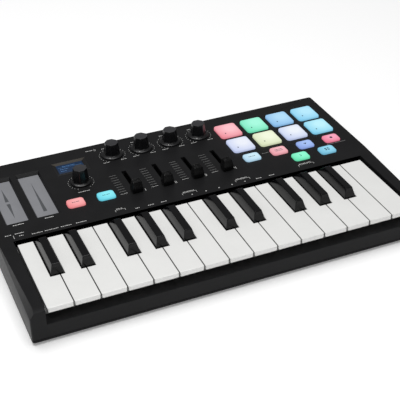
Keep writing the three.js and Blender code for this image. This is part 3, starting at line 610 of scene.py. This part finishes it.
def dust_lips(name):
    """Two felt lips that close a fader's slot but for its stem."""
    centre = middle(name)
    z = DECK - RECESS_DEPTH
    bm = bmesh.new()
    for side in (-1, 1):
        left, right = sorted((centre.x + side * LIP_INNER, centre.x + side * LIP_OUTER))
        slab(bm, Vector((left, centre.y - SLOT_END, z - LIP_THICKNESS)),
             Vector((right, centre.y + FADER_TRAVEL + SLOT_END, z)))
    add_piece(name + "_felt", finish_mesh(bm, name + "_felt"), FELT_AND_SHADE_BLACK, "case", "fader_plastic")


# ------------------------------------------------------------------ printed marks

PRINT = 0.03 * MM  # how thick the print stands
LINE = 0.22  # how wide a printed line is

# Places on the deck in on_deck's millimetres: words as left, right; brackets as left, right, front.
KEY_ROW_LINE = 78.4
KEY_ROW_WORDS = (
    (13.8, 22.6), (24.0, 35.2), (36.9, 46.0), (49.1, 58.4), (98.4, 102.3), (109.1, 113.8),
    (120.1, 125.4), (204.6, 209.4), (216.5, 221.6),
)
KEY_ROW_BRACKETS = (
    (82.5, 90.9, 82.6), (139.9, 152.5, 83.2), (187.3, 200.3, 83.2), (245.8, 260.0, 82.6),
)
KEY_ROW_DOTS = (147.3, 159.5, 171.1, 182.8, 194.5)
# left, right, front and height of the words at the deck's left front corner and before the strips
CORNER_WORDS = (
    (-6.0, -0.7, 83.6, 1.0), (1.7, 9.4, 83.6, 1.0), (4.2, 7.5, 80.0, 1.0),
    (3.2, 12.0, 95.0, 1.2), (28.7, 36.1, 94.8, 1.2),
)
# words at a knob, from its middle: left, right, front
KNOB_WORDS = ((-11.0, -6.0, -10.6), (4.6, 9.6, -11.0), (-5.5, -1.0, 12.6))
KNOB_DOTS = 21
KNOB_DOT_STEP = 15  # degrees
ENCODER_RING, KNOB_RING = 10.7, 11.2
TICKS = 9
TICK_SPAN = 29.3
# words behind pads, from the pad's middle: left, right
PAD_WORDS = (("pad_1", -8, 6), ("pad_2", -7, 4), ("pad_4", -8, 5))


class Marks:
    """Thin printed shapes gathered into one mesh."""

    def __init__(self, base=None):
        self.bm = bmesh.new()
        self.base = DECK if base is None else base

    def bar(self, x0, x1, y0, y1):
        corners = [on_deck(x, y) for x, y in ((x0, y0), (x1, y0), (x1, y1), (x0, y1))]
        plate(self.bm, corners, self.base, PRINT)

    def dot(self, x, y, radius, count=10):
        angles = [2 * math.pi / count * i for i in range(count)]
        ring = [on_deck(x + radius * math.cos(turn), y + radius * math.sin(turn)) for turn in angles]
        plate(self.bm, ring, self.base, PRINT)

    def shape(self, points):
        plate(self.bm, [on_deck(x, y) for x, y in points], self.base, PRINT)

    def words(self, x0, x1, y, height=1.0):
        """A row of short blocks that stands for a label."""
        x = x0
        block = 0
        while x < x1 - 0.4:
            wide = 0.85 + 0.25 * math.sin(2.3 * block)
            tall = height * (0.85 + 0.15 * math.cos(1.7 * block))
            self.bar(x, min(x + wide, x1), y, y + tall * 0.8)
            x += wide + 0.4
            block += 1

    def bracket(self, x0, x1, y, drop):
        """A line with a foot at each end."""
        self.bar(x0, x1, y, y + LINE)
        self.bar(x0, x0 + LINE, y - drop, y)
        self.bar(x1 - LINE, x1, y - drop, y)

    def strokes(self, x, y, lines, size, weight=0.42):
        """A figure drawn with straight strokes on a grid of its own."""
        for (ax, ay), (bx, by) in lines:
            start = Vector((x + ax * size, y + ay * size))
            end = Vector((x + bx * size, y + by * size))
            along = (end - start).normalized() * weight / 2
            side = Vector((-along.y, along.x))
            start, end = start - along, end + along
            self.shape([start - side, end - side, end + side, start + side])

    def add(self, name, material, slot="case_plastic", body="case"):
        add_piece(name, finish_mesh(self.bm, name), material, body, slot)


# the figures 1 to 4 as strokes
FIGURES = [
    [((0.5, 0), (0.5, 2))],
    [((0, 2), (1, 2)), ((1, 2), (1, 1)), ((1, 1), (0, 1)), ((0, 1), (0, 0)), ((0, 0), (1, 0))],
    [((0, 2), (1, 2)), ((1, 2), (1, 0)), ((0, 1), (1, 1)), ((0, 0), (1, 0))],
    [((0, 2), (0, 1)), ((0, 1), (1, 1)), ((1, 2), (1, 0))],
]


def panel_place(name):
    """A control's middle in the panel's own millimetres."""
    centre = middle(name)
    origin = on_deck(0, 0)
    return (centre.x - origin.x) / MM, (centre.y - origin.y) / MM


def key_row_marks(bright):
    """The print along the deck's front edge, above the keys."""
    for x0, x1 in KEY_ROW_WORDS:
        bright.words(x0, x1, KEY_ROW_LINE)
    for x0, x1, y in KEY_ROW_BRACKETS:
        bright.bracket(x0, x1, y, 2.4)
        bright.words(x0 + 1.5, x1 - 1.5, y + 1.0)
    for x in KEY_ROW_DOTS:
        bright.dot(x, KEY_ROW_LINE + 0.6, 0.55)
    for x0, x1, y, height in CORNER_WORDS:
        bright.words(x0, x1, y, height)
    bright.bar(-0.2, 0.1, 78.0, 82.4)


def knob_marks(bright, name, ring):
    """A ring of dots round a knob, and its words."""
    x, y = panel_place(name)
    for step in range(KNOB_DOTS):
        angle = POINTER_ANGLE - math.radians(KNOB_DOT_STEP * step)
        bright.dot(x + ring * math.cos(angle), y + ring * math.sin(angle), 0.27, 8)
    if name == "encoder_knob":
        bright.words(x - 6.5, x + 3.0, y - 14.6, 1.0)
    else:
        for left, right, front in KNOB_WORDS:
            bright.words(x + left, x + right, y + front, 0.9)


def fader_marks(bright, dim, name, figure):
    """A ladder of ticks along a fader, and its figure."""
    x, y = panel_place(name)
    for step in range(TICKS):
        target = bright if step == 0 else dim
        tick_y = y + TICK_SPAN * step / (TICKS - 1)
        target.bar(x - 14.0, x - 10.8, tick_y - 0.12, tick_y + 0.16)
        target.bar(x - 11.0, x - 8.0, tick_y, tick_y + 0.28)
    bright.strokes(x + 6.4, y - 2.4, FIGURES[figure], 1.25)


def panel_marks():
    """All print on the deck, in a bright and a dim paint."""
    bright, dim = Marks(), Marks()
    key_row_marks(bright)
    knob_marks(bright, "encoder_knob", ENCODER_RING)
    for name in KNOBS[1:]:
        knob_marks(bright, name, KNOB_RING)
    for figure, name in enumerate(FADERS):
        fader_marks(bright, dim, name, figure)
    for name, start, end in PAD_WORDS:
        x, y = panel_place(name)
        dim.words(x + start, x + end, y + 11.6, 0.8)
    x, y = panel_place("knob_1")
    bright.words(x - 19.3, x - 13.0, y + 14.0, 1.0)
    bright.bracket(x - 12.0, x - 10.6, y + 15.0, 2.4)
    x, y = panel_place("transport_button_4")
    dim.words(x - 8.0, x + 10.0, y - 8.0, 0.9)
    x, y = panel_place("transport_button_2")
    dim.words(x - 15.0, x - 9.0, y + 1.6, 0.9)
    bright.add("panel_marks", PAINT)
    dim.add("panel_marks_dim", DIM_PAINT)


def cap_marks():
    """Small signs on the caps, each riding with its own cap."""
    for index in range(1, 9):
        name = f"pad_{index}"
        x, y = panel_place(name)
        sign = Marks(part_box(name)[1].z - PRINT)
        sign.bar(x - 5.4, x - 4.4, y - 6.0, y - 4.6)
        sign.add(name + "_sign", INK, nodes_slot(name), name)
    for name in BUTTON_LOOKS:
        x, y = panel_place(name)
        sign = Marks(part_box(name)[1].z - PRINT)
        if name == "transport_button_4":
            sign.dot(x, y, 1.35, 20)
        elif name == "transport_button_3":
            sign.shape([(x - 1.5, y + 0.9), (x, y - 1.2), (x + 1.5, y + 0.9)])
        elif name == "transport_button_2":
            sign.words(x - 3.6, x + 3.6, y + 0.4, 1.1)
            sign.words(x - 3.6, x + 3.6, y - 1.6, 1.1)
        elif name == "page_button_1":
            sign.strokes(x - 0.6, y - 1.4, [((0, 2), (1, 1)), ((1, 1), (0, 0))], 1.3)
        elif name == "page_button_2":
            for column in (x - 1.2, x + 1.2):
                for row in (y - 1.1, y + 1.1):
                    sign.bar(column - 0.8, column + 0.8, row - 0.7, row + 0.7)
        else:
            sign.words(x - 3.2, x + 3.2, y - 0.5, 1.1)
        sign.add(name + "_sign", INK, nodes_slot(name), name)


# ------------------------------------------------------------------ display, strips, sockets, screws

DISPLAY_X, DISPLAY_Y = 70.5, 161.0
DISPLAY_OUTER = (29.9, 20.7)
DISPLAY_INNER = (23.6, 13.8)
DISPLAY_BACK = 0.6  # the window ends this far in front of the recess's back
DISPLAY_RIM = 0.15 * MM
DISPLAY_FLOOR = DECK - 2.4 * MM
BEZEL_SKIN = 0.36 * MM
WINDOW_RISE = 0.2 * MM

TOUCH_PLACES = (8.4, 33.1)
TOUCH_MIDDLE = 131.9
TOUCH_WIDTH, TOUCH_LENGTH = 17.3 * MM, 64.7 * MM
TOUCH_TOP = DECK - 2.45 * MM
TOUCH_WEDGES = (
    ((32.8, 154.4), (31.3, 108.5), (34.3, 108.5)),
    ((7.9, 154.1), (6.4, 133.8), (9.4, 133.8)),
    ((6.4, 130.4), (7.9, 108.2), (9.4, 130.4)),
)

USB_X, USB_Z = 250, 13.8 * MM
USB_OUTER, USB_INNER = (8.5, 7.7), (7.7, 6.9)
USB_DEPTH = 8.8
JACK_X, JACK_Z = 215, 15.2 * MM
# the jack ring's section: radius and distance behind the board's rear, in millimetres
JACK_SECTION = (
    (4.6, -0.25), (4.6, 0), (4.2, 0.2), (3.5, 0.2), (3.2, -0.05), (3.2, -8), (3.4, -8), (3.4, -0.25),
)

# the strip of painted shade under the deck's front edge, in on_deck's millimetres
SHADE_STRIP_FRONT, SHADE_STRIP_BACK = 72.5, 78.0
SHADE_STRIP_LOW, SHADE_STRIP_HIGH = -4.2, -2.6
SHADE_STRIP_LENGTH = 300

SIDE_SCREW_INSET = 5.85 * MM
SIDE_SCREW_ROWS = (13.1, 61.8)
REAR_SCREW_INSET = 8.4 * MM
# a screw from its shank to the bottom of its cross: radius and height in millimetres, depth of cross
SCREW_OUTLINE = (
    (1.3, 5, 0), (1.3, 0, 0), (2.6, 0, 0), (2.6, -0.4, 0),
    (2.3, -0.9, 0), (1.7, -1.15, 0.1), (1.4, -1.15, 0.62), (0.9, -0.3, 0.6),
)


def display_bezel(outer, inner):
    """The sloped frame round the window, and its back slope, which is painted paler as painted light."""
    outer_w, outer_d = (size * MM for size in DISPLAY_OUTER)
    inner_w, inner_d = (size * MM for size in DISPLAY_INNER)
    rim = DECK - DISPLAY_RIM
    corner = 0.05 * MM
    bezel_low = DISPLAY_FLOOR + 0.05 * MM
    bm = bmesh.new()
    loft(bm, [
        rounded_ring(outer, outer_w, outer_d, corner, rim, 1),
        rounded_ring(inner, inner_w, inner_d, corner, DISPLAY_FLOOR, 1),
        rounded_ring(inner, inner_w - BEZEL_SKIN, inner_d - BEZEL_SKIN, corner, bezel_low, 1),
        rounded_ring(outer, outer_w - BEZEL_SKIN, outer_d - BEZEL_SKIN, corner, rim, 1),
    ], closed=True)
    add_piece("display_bezel", finish_mesh(bm, "display_bezel", 20), BEZEL, "case", "case_plastic")
    # the back slope carries painted light
    back = outer.y + outer_d / 2
    foot = back - DISPLAY_BACK * MM
    bm = bmesh.new()
    loft(bm, [
        [Vector((outer.x - outer_w / 2, back - shift, rim)),
         Vector((inner.x - inner_w / 2, foot - shift, DISPLAY_FLOOR)),
         Vector((inner.x + inner_w / 2, foot - shift, DISPLAY_FLOOR)),
         Vector((outer.x + outer_w / 2, back - shift, rim))]
        for shift in (0.25 * MM, 0.35 * MM)
    ])
    mesh = finish_mesh(bm, "display_bezel_back_painted_light")
    add_piece("display_bezel_back_painted_light", mesh, BEZEL_BACK_PAINTED_LIGHT, "case", "case_plastic")


def display():
    """The display's frame, its window and the bars it shows."""
    inner_y = DISPLAY_Y + (DISPLAY_OUTER[1] - DISPLAY_INNER[1]) / 2 - DISPLAY_BACK
    inner = on_deck(DISPLAY_X, inner_y)
    display_bezel(on_deck(DISPLAY_X, DISPLAY_Y), inner)
    window_w, window_d = ((size - 0.3) * MM for size in DISPLAY_INNER)
    window_z = DECK - RECESS_DEPTH
    window_top = window_z + WINDOW_RISE
    bm = bmesh.new()
    loft(bm, [
        rounded_ring(inner, window_w - 2 * inset, window_d - 2 * inset, 0.4 * MM, z, 4)
        for inset, z in [(0, window_z - 0.1 * MM)] + fillet(window_top, 0.15 * MM, 3)
    ])
    add_piece("display_window", finish_mesh(bm, "display_window"), GLASS, "case", "screen_glass")
    lines = Marks(window_top)
    left, front = DISPLAY_X - 10.4, inner_y - 5.2
    lines.words(left + 4.0, left + 15.0, front + 8.6, 0.9)
    lines.bar(left, left + 20.6, front + 7.3, front + 7.5)
    lines.words(left + 1.0, left + 8.0, front + 4.4, 0.8)
    lines.words(left + 1.0, left + 6.0, front + 1.4, 0.8)
    lines.add("display_lines", SCREEN_LINES, "screen_glass")
    nodes["display_module"].data.materials.clear()
    nodes["display_module"].data.materials.append(GLASS)


def touch_strips():
    """The two touch surfaces and the wedges printed on them."""
    for index, x in enumerate(TOUCH_PLACES):
        centre = on_deck(x, TOUCH_MIDDLE)
        bm = bmesh.new()
        loft(bm, [
            rounded_ring(centre, TOUCH_WIDTH - 2 * inset, TOUCH_LENGTH - 2 * inset, 0.3 * MM, z, 3)
            for inset, z in [(0, TOUCH_TOP - 0.2 * MM)] + fillet(TOUCH_TOP, 0.12 * MM, 3)
        ])
        mesh = finish_mesh(bm, "touch_surface")
        add_piece(f"touch_surface_{index + 1}", mesh, TOUCH, "case", "touch_surface")
    wedges = Marks(TOUCH_TOP)
    for corners in TOUCH_WEDGES:
        wedges.shape(corners)
    wedges.add("touch_wedges", WEDGE, "touch_surface")


def upright(ring, y):
    """Stands a level ring on edge at a distance y, its y turned into height."""
    return [Vector((p.x, y, p.y)) for p in ring]


def usb_shell():
    """The metal shell and the tongue in the USB socket."""
    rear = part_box("control_board")[1].y
    x = on_deck(USB_X, 0).x
    centre = Vector((x, USB_Z, 0))
    outer, inner = [
        rounded_ring(centre, width * MM, height * MM, 0.9 * MM, 0, 4)
        for width, height in (USB_OUTER, USB_INNER)
    ]
    mouth, end = rear - 0.05 * MM, rear - USB_DEPTH * MM
    bm = bmesh.new()
    rings = [upright(outer, mouth), upright(outer, end), upright(inner, end), upright(inner, mouth)]
    loft(bm, rings, closed=True)
    add_piece("usb_shell", finish_mesh(bm, "usb_shell"), TIN, "case", "circuit_board")
    bm = bmesh.new()
    slab(bm, Vector((x - 2.8 * MM, end + 0.1 * MM, USB_Z - 1.6 * MM)),
         Vector((x + 2.8 * MM, rear - 1.2 * MM, USB_Z + 1.6 * MM)))
    bmesh.ops.bevel(
        bm, geom=list(bm.edges), offset=0.3 * MM, segments=2, affect="EDGES", profile=0.5
    )
    add_piece("usb_tongue", finish_mesh(bm, "usb_tongue"), PARTS, "case", "circuit_board")


def jack_ring():
    """The metal ring in the pedal jack."""
    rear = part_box("control_board")[1].y
    centre = Vector((on_deck(JACK_X, 0).x, JACK_Z, 0))
    bm = bmesh.new()
    loft(bm, [
        upright(grip_ring(centre, radius * MM, 0, 0, count=48), rear + reach * MM)
        for radius, reach in JACK_SECTION
    ], closed=True)
    add_piece("jack_ring", finish_mesh(bm, "jack_ring"), TIN, "case", "circuit_board")


def key_felt():
    """A black strip under the deck's front edge: painted shade that darkens the slit behind the keys."""
    bm = bmesh.new()
    slab(bm, on_deck(0, SHADE_STRIP_FRONT, SHADE_STRIP_LOW), on_deck(SHADE_STRIP_LENGTH, SHADE_STRIP_BACK, SHADE_STRIP_HIGH))
    bmesh.ops.bevel(
        bm, geom=list(bm.edges), offset=0.2 * MM, segments=2, affect="EDGES", profile=0.5
    )
    add_piece("key_felt", finish_mesh(bm, "key_felt"), FELT_AND_SHADE_BLACK, "case", "case_plastic")


def screw_places():
    places = []
    for x in (case_low.x + SIDE_SCREW_INSET, case_high.x - SIDE_SCREW_INSET):
        places += [(x, on_deck(0, row).y) for row in SIDE_SCREW_ROWS]
    span = case_high.x - case_low.x
    rear = case_high.y - REAR_SCREW_INSET
    places += [(case_low.x + span * share / 6, rear) for share in (1, 3, 5)]
    return places


def star(x, y, radius, z, depth):
    """A ring pinched towards a cross; depth 0 leaves it round."""
    points = []
    for i in range(48):
        angle = 2 * math.pi * i / 48
        reach = radius * (1 - depth * (1 - abs(math.cos(2 * angle)) ** 0.5))
        points.append(Vector((x + reach * math.cos(angle), y + reach * math.sin(angle), z)))
    return points


def screws():
    """Pan-head screws with a cross recess, in the bottom case."""
    floor_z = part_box("bottom_case")[0].z
    for index, (x, y) in enumerate(screw_places()):
        bm = bmesh.new()
        loft(bm, [
            star(x, y, radius * MM, floor_z + height * MM, depth)
            for radius, height, depth in SCREW_OUTLINE
        ])
        mesh = finish_mesh(bm, "screw", 30)
        add_piece(f"screw_{index + 1}", mesh, STEEL, "case", "floor_plastic")


# ------------------------------------------------------------------ build

BEVEL_DEPTH = 8 * MM  # the top case's edges are rounded down to here under the deck

# pads and buttons: the pale colour over the lamp, the deep colour at the edge, the slot
PAD_LOOKS = {
    "pad_1": ("#ffc4cc", "#e86e80", "pad_pink"),
    "pad_2": ("#a8fce0", "#55dcaa", "pad_mint"),
    "pad_3": ("#b4e0fc", "#74aee8", "pad_light_blue"),
    "pad_4": ("#b8ecff", "#6cc4ee", "pad_sky"),
    "pad_5": ("#eef2fc", "#b0c0f0", "pad_lavender_white"),
    "pad_6": ("#f4fae0", "#ccd8ac", "pad_pale_yellow"),
    "pad_7": ("#eef4fc", "#b0c0f0", "pad_lilac"),
    "pad_8": ("#c0f4ff", "#62c6ee", "pad_pale_cyan"),
}
BUTTON_LOOKS = {
    "octave_down_button": ("#fbb0b0", "#e86c74", "button_salmon"),
    "octave_up_button": ("#8ceef8", "#48c0dc", "button_cyan"),
    "transport_button_1": ("#cfeefa", "#98c4e4", "button_light_blue"),
    "transport_button_2": ("#f8bcc4", "#e48894", "button_pale_pink"),
    "transport_button_3": ("#a8c4f8", "#748cd8", "button_periwinkle"),
    "transport_button_4": ("#fca8c0", "#e45474", "button_rose"),
    "page_button_1": ("#90fcd4", "#48d89c", "button_mint"),
    "page_button_2": ("#98dcf4", "#54a4c8", "button_sky"),
}


def nodes_slot(name):
    """The slot of a pad or a button."""
    return (PAD_LOOKS.get(name) or BUTTON_LOOKS[name])[2]


def near_deck(edge):
    """True for an edge of the top case near enough to the deck to be rounded."""
    return min(vertex.co.z for vertex in edge.verts) > DECK - BEVEL_DEPTH


add_camera()
add_world()
add_floor()
add_area_light("overhead", (-0.2, 0.0, 1.5), (0, 0, 0), (1.6, 1.2), 21)
add_area_light("left", (-0.9, -1.5, 1.0), (0, 0, 0), (1.0, 0.6), 3)
bpy.context.scene.view_settings.view_transform = "Standard"

refined("top_case", CASE, "case_plastic", 0.25, 2, wanted=near_deck)
refined("bottom_case", BASE, "floor_plastic", 0.25, 2)
for name in WHITE_KEYS:
    refined(name, WHITE, "white_key_plastic", 0.35, 3, angle=50)
for name in BLACK_KEYS:
    refined(name, BLACK, "black_key_plastic", 0.5, 3, angle=20)
for name, (pale, deep, slot) in PAD_LOOKS.items():
    silicone_cap(name, pale, deep, slot, 1.1 * MM, 0.12 * MM)
for name, (pale, deep, slot) in BUTTON_LOOKS.items():
    silicone_cap(name, pale, deep, slot, 0.8 * MM, 0.06 * MM)
for name in KNOBS:
    knob(name)
    knob_pointer(name)
for name in FADERS:
    fader_cap(name)
    dust_lips(name)
panel_marks()
cap_marks()
display()
touch_strips()
usb_shell()
jack_ring()
# painted shade: a black strip in the slit behind the keys
key_felt()
screws()
for name, material in (
    ("front_foot_strip", RUBBER), ("rear_foot_strip", RUBBER), ("key_chassis", CHASSIS),
    ("key_board", BOARD), ("key_contact_strip", CONTACT), ("control_board", PARTS),
    ("touch_strip_board", PARTS),
):
    nodes[name].data.materials.clear()
    nodes[name].data.materials.append(material)
